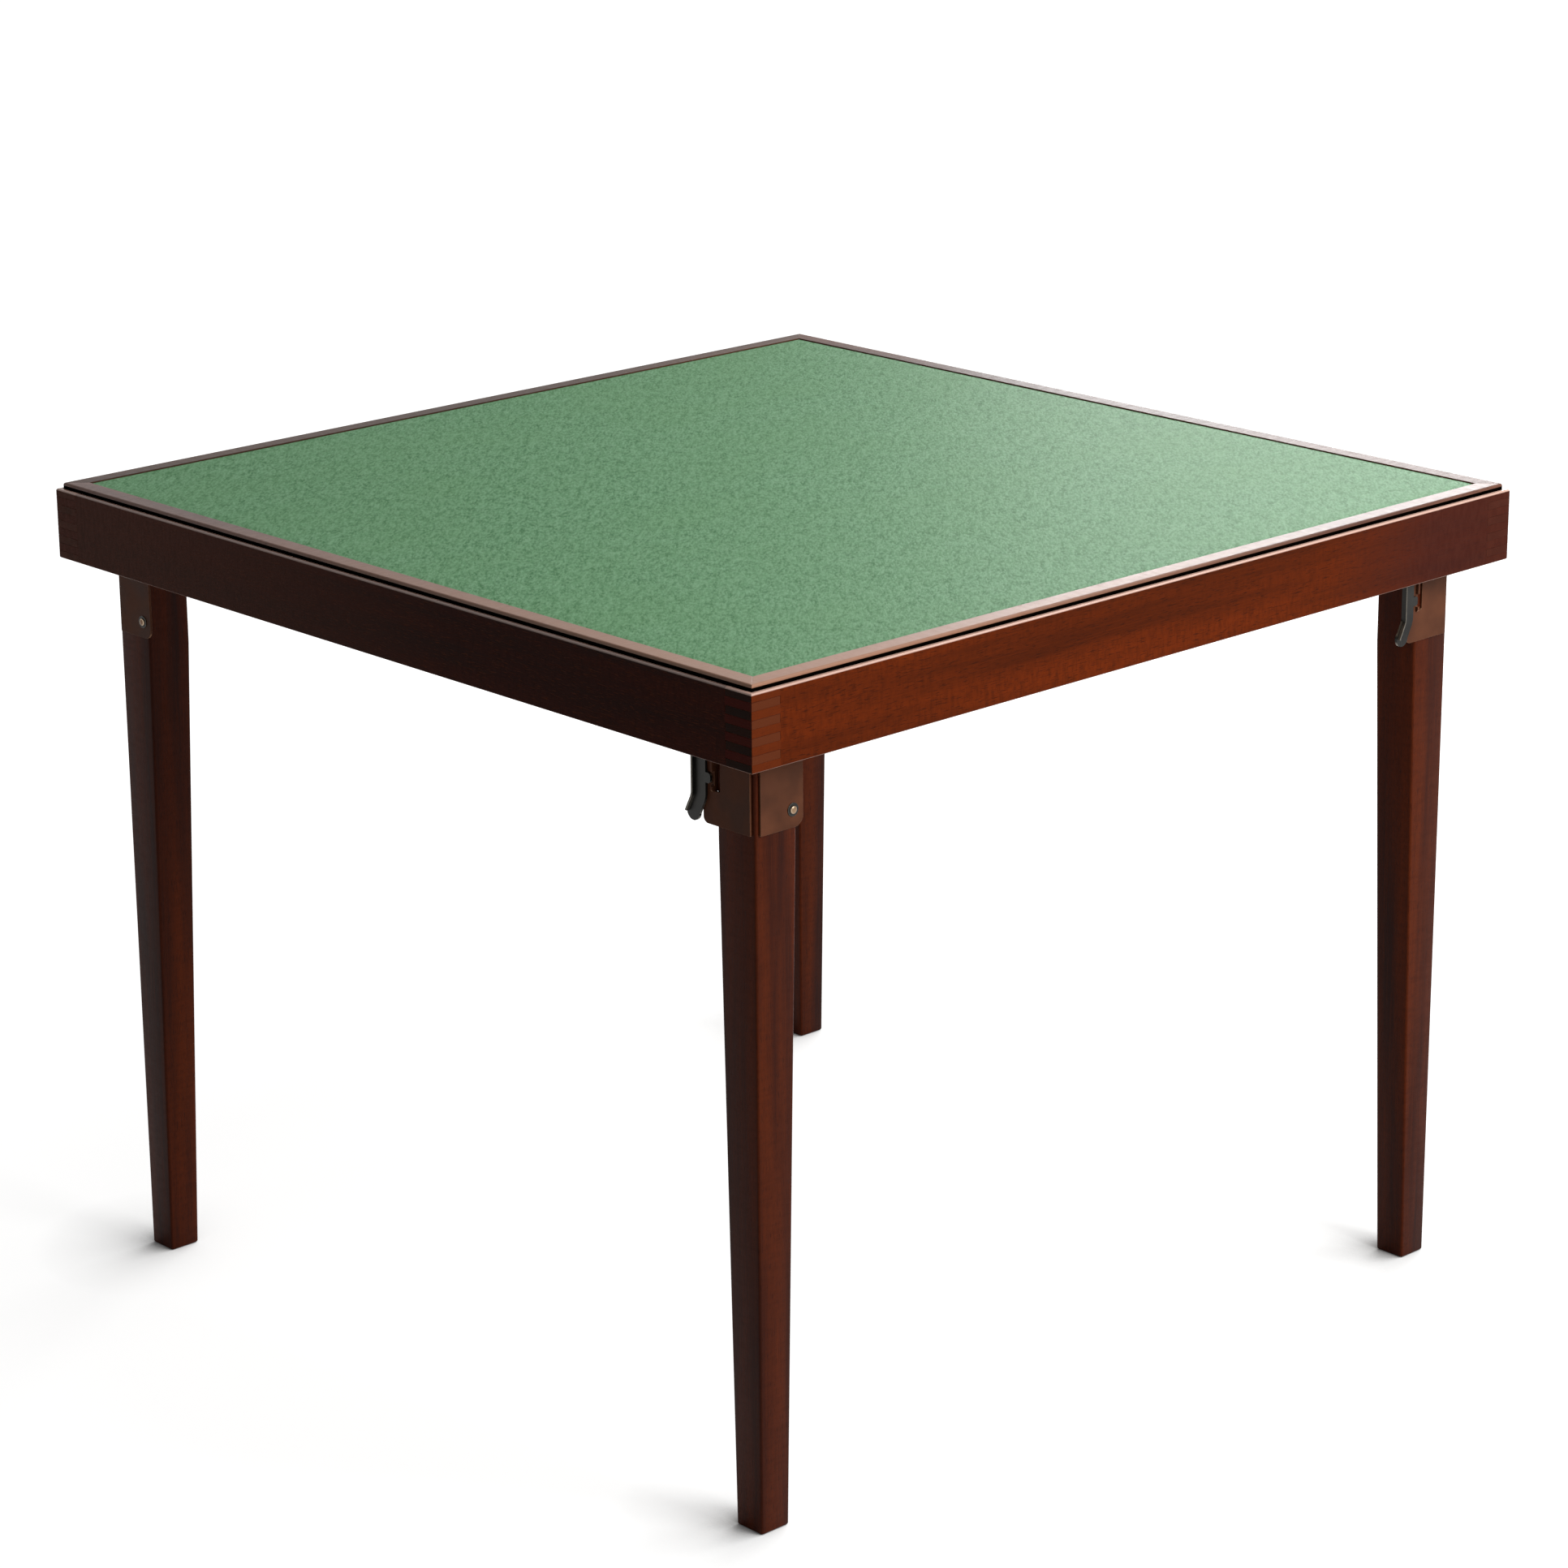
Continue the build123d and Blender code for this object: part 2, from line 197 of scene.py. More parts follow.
# Softboxes: place, target, size in metres and watts
SOFTBOXES = {
    "key": ((0.40, -2.4, 1.7), (0.05, -0.2, 0.5), (1.1, 1.2), 43),
    "rim": ((0.98, -0.79, 1.75), (0.0, -0.3, 0.69), (0.40, 0.36), 5.5),
    "back": ((2.55, 1.0, 1.4), (0.2, -0.2, 0.69), (1.9, 1.0), 44),
}
FLOOR_RADIUS = 30.0
FLOOR_SIDES = 96
FLOOR_DROP = 0.2 * MM


# Node helpers


def linear(hex_colour):
    """An sRGB hex colour as linear red, green, blue and 1."""
    channels = []
    for start in (0, 2, 4):
        value = int(hex_colour[start:start + 2], 16) / 255
        if value <= 0.04045:
            channels.append(value / 12.92)
        else:
            channels.append(((value + 0.055) / 1.055) ** 2.4)
    return (*channels, 1.0)


def add_node(tree, kind, inputs=None, **settings):
    """A node with its settings. Each input is a value, or a socket to link from."""
    node = tree.nodes.new(kind)
    for name, value in settings.items():
        setattr(node, name, value)
    for key, value in (inputs or {}).items():
        if isinstance(value, bpy.types.NodeSocket):
            tree.links.new(value, node.inputs[key])
        else:
            node.inputs[key].default_value = value
    return node


def new_material(name):
    """An empty node material and its tree."""
    material = bpy.data.materials.new(name)
    material.use_nodes = True
    material.node_tree.nodes.clear()
    return material, material.node_tree


def pattern(tree, period, detail=2.0, roughness=0.5, turn=0.0):
    """Noise whose features have the given size in metres along X, Y and Z.

    It lies on the object's own coordinates, and may be turned about Z.
    """
    place = add_node(tree, "ShaderNodeTexCoord").outputs["Object"]
    inputs = {"Vector": place, "Rotation": (0, 0, turn), "Scale": period}
    vector = add_node(tree, "ShaderNodeMapping", inputs, vector_type="TEXTURE").outputs["Vector"]
    inputs = {"Vector": vector, "Scale": 1.0, "Detail": detail, "Roughness": roughness}
    return add_node(tree, "ShaderNodeTexNoise", inputs).outputs["Fac"]


def measured(tree, what, axis, either_way=False):
    """A point's place, or the way that its surface faces, along an axis of the table.

    "Object" gives the place in metres, and "Normal" the way it faces, from -1 to 1. With
    either_way the sign is dropped.
    """
    vector = add_node(tree, "ShaderNodeTexCoord").outputs[what]
    part = add_node(tree, "ShaderNodeSeparateXYZ", {0: vector}).outputs[axis]
    if either_way:
        return add_node(tree, "ShaderNodeMath", {0: part}, operation="ABSOLUTE").outputs[0]
    return part


def largest(tree, first, *others):
    """The largest of several values."""
    for other in others:
        inputs = {0: first, 1: other}
        first = add_node(tree, "ShaderNodeMath", inputs, operation="MAXIMUM").outputs[0]
    return first


def ranged(tree, *factors):
    """Factors multiplied together, each stretched over its range and kept inside it.

    A factor is a value with where its range starts and ends, and what it becomes at each,
    which is 0 and 1 unless given. A factor without a range is taken as it is.
    """
    names = ("Value", "From Min", "From Max", "To Min", "To Max")
    product, *others = [
        add_node(tree, "ShaderNodeMapRange", dict(zip(names, factor))).outputs["Result"]
        if isinstance(factor, tuple) else factor
        for factor in factors
    ]
    for other in others:
        inputs = {0: product, 1: other}
        product = add_node(tree, "ShaderNodeMath", inputs, operation="MULTIPLY").outputs[0]
    return product


def laid_over(tree, under, over, *factors):
    """A colour laid over another, as far as the factors reach."""
    inputs = {0: ranged(tree, *factors), 6: under, 7: over}
    return add_node(tree, "ShaderNodeMix", inputs, data_type="RGBA").outputs[2]


def finish_surface(tree, inputs, *reliefs):
    """The principled shader over its reliefs, and the output.

    A relief is a pattern and its height in metres. Each lies on the one before.
    """
    shading = {}
    for height, distance in reliefs:
        bump = {"Height": height, "Distance": distance, "Strength": 1.0, **shading}
        shading = {"Normal": add_node(tree, "ShaderNodeBump", bump).outputs["Normal"]}
    shader = add_node(tree, "ShaderNodeBsdfPrincipled", {**inputs, **shading})
    add_node(tree, "ShaderNodeOutputMaterial", {"Surface": shader.outputs["BSDF"]})


# Materials


def along(axis, length, width):
    """A period that is long along one axis and narrow across it."""
    return tuple(length if index == axis else width for index in range(3))


def mahogany(tree, axis, light, dark, end, figure):
    """The colour, pores and ribbon figure of stained mahogany, with the grain along one axis.

    Broad soft streaks run along the grain. The ribbon figure crosses them as a short
    mottle of the given strength. Open pores show as dark dashes. End grain takes more
    stain.
    """
    streaks = pattern(tree, along(axis, 420 * MM, 22 * MM), detail=3.0, roughness=0.55)
    ribbon = pattern(tree, along(axis, 4.5 * MM, 13 * MM), detail=3.0, roughness=0.65)
    lines = pattern(tree, along(axis, 90 * MM, 1.6 * MM), roughness=0.6)
    # Real pores are 0.2 mm wide. They are drawn 0.7 mm wide, so that they show.
    dashes = pattern(tree, along(axis, 8 * MM, 0.7 * MM), detail=1.0)
    pores = ranged(tree, (dashes, 0.58, 0.72))
    end_facing = measured(tree, "Normal", axis, either_way=True)
    colour = laid_over(tree, linear(dark), linear(light), (streaks, 0.34, 0.68))
    colour = laid_over(tree, colour, linear(dark), (ribbon, 0.42, 0.66, 0.0, figure))
    colour = laid_over(tree, colour, linear(light), (lines, 0.50, 0.72, 0.0, 0.30))
    colour = laid_over(tree, colour, linear(end), (pores, 0.0, 1.0, 0.0, 0.55))
    colour = laid_over(tree, colour, linear(end), (end_facing, 0.75, 0.95, 0.0, 0.85))
    return colour, pores, ribbon


def leg_wood():
    """Straight-grained mahogany under a thin satin lacquer that lets the open pores show.

    The eye gets a soft, broad gloss, broken a little by the figure.
    """
    material, tree = new_material("Mahogany leg, satin lacquer, grain along Z")
    colour, pores, ribbon = mahogany(
        tree, 2, light="64290F", dark="30130C", end="240C07", figure=0.25,
    )
    finish_surface(tree, {
        "Base Color": colour,
        "Roughness": ranged(tree, (ribbon, 0.3, 0.7, 0.34, 0.44)),
        "Specular IOR Level": LEG_GLOSS,
    }, (pores, -0.03 * MM))
    return material


def rail_wood(name, axis, light, dark, end, finger, stain, back_pale, top_highlight, foot_highlight):
    """The rails' mahogany, pale and polished at the edges, with painted highlights.

    The rounded top edge is painted pale, so that it shows as a bright line, a painted
    highlight, and the lower bevel a little. The right hand end is painted purplish brown
    as a painted reflection, and the side rails and the end grain grow paler and greyer
    towards the back, each as far as the given strength. The sides of the joints' fingers
    are redder, so that each joint reads as a row of bars.
    """
    material, tree = new_material(name)
    colour, pores, ribbon = mahogany(tree, axis, light, dark, end, figure=0.65)
    mottle = (ribbon, 0.38, 0.62)
    rail_low, rail_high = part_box("rail_front")
    finger_start = rail_high.x - (rail_high.y - rail_low.y)
    top_start = rail_high.z - TOP_HIGHLIGHT_HEIGHT
    foot_end = rail_low.z + FOOT_HIGHLIGHT_HEIGHT
    from_middle = measured(tree, "Object", axis, either_way=True)
    end_facing = measured(tree, "Normal", axis, either_way=True)
    upward = measured(tree, "Normal", 2)
    height = measured(tree, "Object", 2)
    colour = laid_over(
        tree, colour, linear(finger),
        (from_middle, finger_start - BAND_FADE, finger_start, 0.0, 0.60),
        (end_facing, 0.5, 0.3),
    )
    # The right hand end is painted purplish brown: a painted reflection. stain sets its strength
    # on the long faces.
    colour = laid_over(
        tree, colour, laid_over(tree, *map(linear, RIGHT_END_PAINTED_REFLECTION), mottle),
        (measured(tree, "Object", 0), *PAINTED_REFLECTION_REACH),
        (end_facing, 0.5, 0.9, stain, PAINTED_REFLECTION_ON_END),
    )
    colour = laid_over(
        tree, colour, laid_over(tree, *map(linear, BACK_PALE_TONES), mottle),
        (measured(tree, "Object", 1), *BACK_PALE_REACH),
        (end_facing, 0.5, 0.9, back_pale, BACK_PALE_ON_END),
    )
    # The rounded top edge is painted pale, and the lower bevel fainter: a painted highlight. The
    # top band also takes the coat.
    rubbed = ranged(tree, (upward, 0.08, 0.40), (height, top_start, top_start + BAND_FADE))
    bevel = ranged(
        tree,
        (upward, -0.25, -0.60, 0.0, foot_highlight),
        (height, foot_end, foot_end - BAND_FADE),
        (upward, -0.98, -0.85),
    )
    painted_highlight = largest(tree, ranged(tree, rubbed, top_highlight), bevel)
    finish_surface(tree, {
        "Base Color": laid_over(tree, colour, linear(PAINTED_HIGHLIGHT_WOOD), painted_highlight),
        "Roughness": ranged(tree, (ribbon, 0.3, 0.7, 0.34, 0.44)),
        "Specular IOR Level": RAIL_GLOSS,
        "Coat Weight": rubbed,
        "Coat Roughness": RUBBED_ROUGHNESS,
    }, (pores, -0.03 * MM))
    return material


def lipping_wood(name, axis, light, dark, gloss):
    """Mahogany moulding, polished by hands and sleeves, with the foot of its side painted
    black as shadow.

    The top mirrors the light at a low angle. A pale tone towards the front left corner is
    a painted sheen. The black foot is a painted shadow and draws the shadow line.
    """
    material, tree = new_material(name)
    colour, pores, ribbon = mahogany(tree, axis, light, dark, end="33180F", figure=0.4)
    place = add_node(tree, "ShaderNodeTexCoord").outputs["Object"]
    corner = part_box("rail_front")[0]
    from_corner = add_node(tree, "ShaderNodeVectorMath", {
        0: place, 1: tuple(corner),
    }, operation="DISTANCE").outputs["Value"]
    # Pale towards the front left corner: a painted sheen.
    colour = laid_over(tree, colour, linear(CORNER_PAINTED_SHEEN), (from_corner, *CORNER_SHEEN_REACH, 0.60, 0.0))
    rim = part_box("rail_front")[1].z
    black_top = rim + SHADOW_LINE
    # The foot of the side is painted black as shadow, and loses its gloss there.
    painted_shadow = ranged(
        tree,
        (measured(tree, "Normal", 2), 0.30, 0.60, 1.0, 0.0),
        (measured(tree, "Object", 2), black_top, black_top - BAND_FADE),
    )
    finish_surface(tree, {
        "Base Color": laid_over(tree, colour, linear(PAINTED_SHADOW_BLACK), painted_shadow),
        "Roughness": ranged(tree, (ribbon, 0.3, 0.7, 0.36, 0.44)),
        "Specular IOR Level": ranged(tree, (painted_shadow, 0.0, 1.0, gloss, 0.0)),
    }, (pores, -0.02 * MM))
    return material


def baize():
    """Wool baize, milled and pressed, with a short matted nap.

    The nap gives a broken mottle, and lying nearly along the view it throws a white
    sheen from a light behind. A thin line at the edge is drawn darker.
    """
    material, tree = new_material("Baize, milled wool with a short nap")
    # The nap is brushed along one diagonal. Its fibres are 0.02 mm thick. They are drawn in
    # tufts 2 mm wide, so that they show.
    nap = pattern(tree, (5.5 * MM, 2.0 * MM, 2.0 * MM), roughness=0.6, turn=NAP_TURN)
    clumps = pattern(
        tree, (17 * MM, 6.0 * MM, 6.0 * MM), detail=3.0, roughness=0.65, turn=NAP_TURN,
    )
    drift = pattern(tree, (120 * MM, 90 * MM, 90 * MM))
    from_centre = largest(
        tree,
        measured(tree, "Object", 0, either_way=True),
        measured(tree, "Object", 1, either_way=True),
    )
    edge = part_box("baize")[1].x
    colour = laid_over(tree, linear("3F7947"), linear("699E70"), (clumps, 0.34, 0.64))
    colour = laid_over(tree, colour, linear("8DBC92"), (nap, 0.40, 0.64, 0.0, 0.62))
    colour = laid_over(tree, colour, linear("659A62"), (drift, 0.35, 0.75, 0.0, 0.25))
    colour = laid_over(
        tree, colour, linear("3A2A1C"),
        (from_centre, edge - EDGE_LINE_WIDTH, edge - EDGE_LINE_WIDTH / 2, 0.0, 0.85),
    )
    finish_surface(tree, {
        "Base Color": colour,
        "Roughness": 0.52,
        "Specular IOR Level": 0.05,
    }, (clumps, 0.20 * MM), (nap, 0.16 * MM))
    return material


def worn_metal(name, light, dark, edge, roughness, metallic, gloss):
    """Steel with a thin dark finish that handling has dulled, and rubbed off the edges.

    The finish reflects softly. Its tone drifts a little over the sheet, and a fine
    brushed grain under it breaks up the highlights. The edges are drawn in thin pale
    lines, partly rubbed-off finish and partly a painted highlight.
    """
    material, tree = new_material(name)
    drift = pattern(tree, (26 * MM, 26 * MM, 26 * MM))
    specks = pattern(tree, (1.1 * MM, 1.1 * MM, 1.1 * MM), roughness=0.6)
    # The brushing is 0.1 mm fine. It is drawn 0.5 mm wide, so that it shows.
    brushed = pattern(tree, (0.5 * MM, 0.5 * MM, 9 * MM))
    # A flat of a squarely placed piece faces along one axis, and an eased edge between two.
    facings = [measured(tree, "Normal", axis, either_way=True) for axis in range(3)]
    squareness = largest(tree, *facings)
    colour = laid_over(tree, linear(dark), linear(light), (drift, 0.35, 0.68))
    colour = laid_over(tree, colour, linear(dark), (specks, 0.60, 0.75, 0.0, 0.30))
    # Eased edges turn pale: partly rubbed-off finish, partly a painted highlight.
    colour = laid_over(tree, colour, linear(edge), (squareness, 0.97, 0.86, 0.0, 0.7))
    finish_surface(tree, {
        "Base Color": colour,
        "Metallic": metallic,
        "Roughness": ranged(tree, (drift, 0.3, 0.7, roughness - 0.04, roughness + 0.06)),
        "Specular IOR Level": gloss,
    }, (brushed, 0.012 * MM))
    return material


def birch_board():
    """Birch plywood, sanded and sealed, as the board shows it from below.

    The sealer is nearly matt. The face veneer has long pale flames and fine flecks.
    """
    material, tree = new_material("Birch plywood, sanded and sealed")
    flames = pattern(tree, (30 * MM, 420 * MM, 30 * MM), detail=4.0, roughness=0.6)
    flecks = pattern(tree, (0.8 * MM, 9 * MM, 0.8 * MM), detail=1.0)
    # The veneers are 1.5 mm thick and cross each other.
    layers = pattern(tree, (900 * MM, 900 * MM, 1.5 * MM), detail=0.0)
    colour = laid_over(tree, linear("9A7450"), linear("C29C72"), (flames, 0.3, 0.7))
    colour = laid_over(tree, colour, linear("7C5A3C"), (flecks, 0.58, 0.72, 0.0, 0.4))
    colour = laid_over(tree, colour, linear("7C5A3C"), (layers, 0.45, 0.55, 0.0, 0.2))
    finish_surface(tree, {
        "Base Color": colour,
        "Roughness": ranged(tree, (flecks, 0.3, 0.7, 0.55, 0.66)),
        "Specular IOR Level": 0.3,
    }, (flecks, -0.02 * MM))
    return material


def studio_paper():
    """Matt white backdrop paper. Part of its white is its own light, to the camera and
    in reflections. The rest is the light that falls on it, so that the feet keep their
    shadows.
    """
    material, tree = new_material("Backdrop paper, matt white")
    grain = pattern(tree, (2 * MM, 2 * MM, 2 * MM))
    colour = laid_over(tree, linear(PAPER_DARK), linear(PAPER_LIGHT), grain)
    paper = add_node(tree, "ShaderNodeBsdfDiffuse", {"Color": colour}).outputs[0]
    place = add_node(tree, "ShaderNodeTexCoord").outputs["Object"]
    distance = add_node(
        tree, "ShaderNodeVectorMath", {0: place}, operation="LENGTH",
    ).outputs["Value"]
    look = dict(zip(("X", "Y", "Z"), CONTACT_LOOK))
    nearness = add_node(tree, "ShaderNodeAmbientOcclusion", {
        "Distance": CONTACT_REACH,
        "Normal": add_node(tree, "ShaderNodeCombineXYZ", look).outputs[0],
    }, samples=8).outputs["AO"]
    strength = ranged(
        tree, shown_rays(tree),
        (distance, *PAPER_FADE, PAPER_GLOW, 1.0),
        (nearness, 0.45, 0.97, CONTACT_DARK, 1.0),
    )
    glow = add_node(tree, "ShaderNodeEmission", {
        "Color": (1, 1, 1, 1), "Strength": strength,
    }).outputs[0]
    both = add_node(tree, "ShaderNodeAddShader", {0: paper, 1: glow}).outputs[0]
    add_node(tree, "ShaderNodeOutputMaterial", {"Surface": both})
    return material


def shown_rays(tree):
    """1 for what the camera sees, straight or in a reflection or through glass, else 0."""
    path = add_node(tree, "ShaderNodeLightPath").outputs
    return largest(
        tree, path["Is Camera Ray"], path["Is Glossy Ray"], path["Is Transmission Ray"],
    )


# Lit and shaded copies of one mahogany: the side rails' darker tones, the long rails' near-black
# end grain on the left face, and the side rails' fainter top highlight are painted shade. stain
# sets the strength of the painted reflection at the right hand end.
LONG_RAIL = rail_wood(
    "Mahogany rail, satin lacquer, grain along X", axis=0,
    light="742D0D", dark="51200B", end="0E0E0A", finger="703014",
    stain=0.80, back_pale=0.0, top_highlight=0.88, foot_highlight=0.35,
)
PAINTED_SHADE_SIDE_RAIL = rail_wood(
    "Mahogany rail, satin lacquer, grain along Y", axis=1,
    light="4A1C10", dark="28100A", end="6E371F", finger="5E2019",
    stain=0.30, back_pale=0.55, top_highlight=0.38, foot_highlight=0.22,
)
RAIL_WOOD = {"front": LONG_RAIL, "right": PAINTED_SHADE_SIDE_RAIL, "back": LONG_RAIL, "left": PAINTED_SHADE_SIDE_RAIL}
# The lippings' tones are darker at the left, right and back than at the front: lit and shaded
# copies of one mahogany, as painted shade.
LIPPING_WOOD = {
    "front": lipping_wood(
        "Mahogany lipping, front, polished", axis=0,
        light="8C5A44", dark="5E3828", gloss=POLISHED_GLOSS,
    ),
    "left": lipping_wood(
        "Mahogany lipping, left, polished", axis=1,
        light="74452F", dark="4C2A1E", gloss=POLISHED_GLOSS,
    ),
    "right": lipping_wood(
        "Mahogany lipping, right, dulled", axis=1,
        light="6E4230", dark="4A2A1E", gloss=DULLED_GLOSS,
    ),
    "back": lipping_wood(
        "Mahogany lipping, back, dulled", axis=0,
        light="5A3A28", dark="3C2418", gloss=DULLED_GLOSS,
    ),
}
LEG_WOOD = leg_wood()
BAIZE = baize()
BOARD = birch_board()
BRONZED = worn_metal(
    "Sheet steel, bronzed and lacquered",
    light="6A402C", dark="543222", edge="B08668", roughness=0.44, metallic=0.0, gloss=0.06,
)
BLACKENED = worn_metal(
    "Pressed steel, oil-blackened",
    light="2C2B28", dark="161513", edge="8C857A", roughness=0.38, metallic=0.5, gloss=0.3,
)
BRIGHT_STEEL = worn_metal(
    "Steel rivets and screws, rubbed bright",
    light="94795F", dark="5E4838", edge="B8A48C", roughness=0.30, metallic=1.0, gloss=0.5,
)
SPRING_STEEL = worn_metal(
    "Spring steel, blued",
    light="4C525E", dark="2E3138", edge="7C8490", roughness=0.30, metallic=1.0, gloss=0.5,
)


# Pieces


def new_piece(name, mesh, material, body, nodes):
    """A finished piece that rides on a body and stands for CAD nodes."""
    piece = bpy.data.objects.new(name, mesh)
    bpy.context.scene.collection.objects.link(piece)
    mesh.materials.clear()
    mesh.materials.append(material)
    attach(piece, body)
    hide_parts(*nodes)
    return piece


def corner_pieces(stem, mesh, material, body, nodes=()):
    """A piece at each corner, a quarter turn on from the last.

    The body and the nodes are stems, completed by the corner's name. A stem that starts
    with an underscore follows the name.
    """
    for index, corner in enumerate(CORNERS):
        turned = mesh.copy()
        turned.transform(Matrix.Rotation(index * QUARTER, 4, "Z"))
        rides_on = corner + body if body.startswith("_") else body
        replaced = [node + corner for node in nodes]
        new_piece(stem + corner, turned, material, rides_on, replaced)


def finished_mesh(shape, name, angle):
    """The mesh of a finished shape, smooth but for edges sharper than an angle."""
    mesh = bpy.data.meshes.new(name)
    shape.to_mesh(mesh)
    shape.free()
    mesh.shade_smooth()
    mesh.set_sharp_from_angle(angle=angle)
    return mesh


def on_circle(radius, step, steps):
    """The two places of a step round a circle."""
    angle = 2 * math.pi * step / steps
    return radius * math.cos(angle), radius * math.sin(angle)


def settled_normals(mesh):
    """The mesh with its shading normals taken from the largest faces.

    Flats stay flat beside their eased edges.
    """
    host = bpy.data.objects.new("normals_host", mesh)
    bpy.context.scene.collection.objects.link(host)
    modifier = host.modifiers.new("Settle", "WEIGHTED_NORMAL")
    modifier.weight = 100
    modifier.keep_sharp = True
    graph = bpy.context.evaluated_depsgraph_get()
    settled = bpy.data.meshes.new_from_object(host.evaluated_get(graph))
    bpy.data.objects.remove(host)
    return settled


def eased_copy(node, material, body, ease):
    """The shape of a CAD solid, with its sharp edges eased by hand sanding or filing."""
    shape = bmesh.new()
    shape.from_mesh(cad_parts[node].data)
    bmesh.ops.remove_doubles(shape, verts=shape.verts, dist=MERGE_DISTANCE)
    bmesh.ops.dissolve_limit(
        shape, angle_limit=FLAT_ANGLE, verts=shape.verts, edges=shape.edges,
    )
    sharp = [
        edge for edge in shape.edges
        if len(edge.link_faces) == 2 and edge.calc_face_angle() > SHARP_ANGLE
    ]
    bmesh.ops.bevel(
        shape, geom=sharp, offset=ease, offset_type="OFFSET", segments=EASE_STEPS,
        profile=0.5, affect="EDGES", clamp_overlap=True,
    )
    mesh = settled_normals(finished_mesh(shape, node + "_shape", EASED_SMOOTH))
    return new_piece(node + "_eased", mesh, material, body, [node])


def rounded_loop(shape, low, high, z, radius):
    """A ring of points round a rectangle with rounded corners."""
    corners = [
        (high[0] - radius, high[1] - radius, 0),
        (low[0] + radius, high[1] - radius, 1),
        (low[0] + radius, low[1] + radius, 2),
        (high[0] - radius, low[1] + radius, 3),
    ]
    ring = []
    for x, y, turn in corners:
        for step in range(EDGE_STEPS + 1):
            angle = QUARTER * (turn + step / EDGE_STEPS)
            point = (x + radius * math.cos(angle), y + radius * math.sin(angle), z)
            ring.append(shape.verts.new(point))
    return ring


def joined_rings(shape, rings):
    """Walls between rings of points, closed at both ends."""
    for lower, upper in zip(rings, rings[1:]):
        count = len(lower)
        for index in range(count):
            following = (index + 1) % count
            shape.faces.new((lower[index], lower[following], upper[following], upper[index]))
    shape.faces.new(list(reversed(rings[0])))
    shape.faces.new(rings[-1])


def leg_shape():
    """The front left leg: a square head with a half-round top, tapered to the foot."""
    low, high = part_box("leg_front_left")
    plate_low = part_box("side_plate_front_left")[0].z
    head_radius = (high.x - low.x) / 2
    pin_z = high.z - head_radius
    taper_z = plate_low - TAPER_BELOW_PLATE
    centre_x = (low.x + high.x) / 2
    shape = bmesh.new()
    rings = []
    for step in range(FOOT_STEPS + 1):
        angle = QUARTER * step / FOOT_STEPS
        inset = FOOT_ROUNDING * (1 - math.sin(angle))
        rings.append(rounded_loop(
            shape,
            (low.x + inset, low.y + inset),
            (low.x + FOOT_WIDTH - inset, low.y + FOOT_WIDTH - inset),
            low.z + FOOT_ROUNDING * (1 - math.cos(angle)),
            LEG_EDGE_RADIUS,
        ))
    rings.append(rounded_loop(shape, low.xy, high.xy, taper_z, LEG_EDGE_RADIUS))
    for step in range(HEAD_STEPS):
        angle = QUARTER * step / HEAD_STEPS
        half = head_radius * math.cos(angle)
        rings.append(rounded_loop(
            shape,
            (centre_x - half, low.y),
            (centre_x + half, high.y),
            pin_z + head_radius * math.sin(angle),
            min(LEG_EDGE_RADIUS, half * HEAD_ROUNDING_SHARE),
        ))
    joined_rings(shape, rings)
    return finished_mesh(shape, "leg_shape", LEG_SMOOTH)


def make_legs():
    """The four legs."""
    corner_pieces("leg_wood_", leg_shape(), LEG_WOOD, "_leg", ["leg_"])


def make_baize():
    """The cloth: a thin slab that swells a little and rolls down at its edges."""
    low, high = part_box("baize")
    shape = bmesh.new()
    count = BAIZE_CELLS + 1
    rows = []
    for row in range(count):
        points = []
        for column in range(count):
            x = low.x + (high.x - low.x) * column / BAIZE_CELLS
            y = low.y + (high.y - low.y) * row / BAIZE_CELLS
            place = Vector((x * SWELLS_PER_METRE, y * SWELLS_PER_METRE, SWELL_SEED))
            swell = noise.noise(place) * BAIZE_SWELL
            from_edge = min(x - low.x, high.x - x, y - low.y, high.y - y)
            roll = max(0.0, 1 - from_edge / BAIZE_EDGE_ROLL) ** 2 * BAIZE_EDGE_DROP
            points.append(shape.verts.new((x, y, high.z - BAIZE_SWELL + swell - roll)))
        rows.append(points)
    for row in range(BAIZE_CELLS):
        for column in range(BAIZE_CELLS):
            shape.faces.new((
                rows[row][column], rows[row][column + 1],
                rows[row + 1][column + 1], rows[row + 1][column],
            ))
    rim = rows[0] + [points[-1] for points in rows[1:]]
    rim += list(reversed(rows[-1][:-1])) + [points[0] for points in reversed(rows[1:-1])]
    under = [shape.verts.new((point.co.x, point.co.y, low.z)) for point in rim]
    for index in range(len(rim)):
        following = (index + 1) % len(rim)
        shape.faces.new((under[index], under[following], rim[following], rim[index]))
    shape.faces.new(list(reversed(under)))
    mesh = finished_mesh(shape, "baize_shape", BAIZE_SMOOTH)
    piece = new_piece("baize_cloth", mesh, BAIZE, "frame", ["baize"])


# Screws


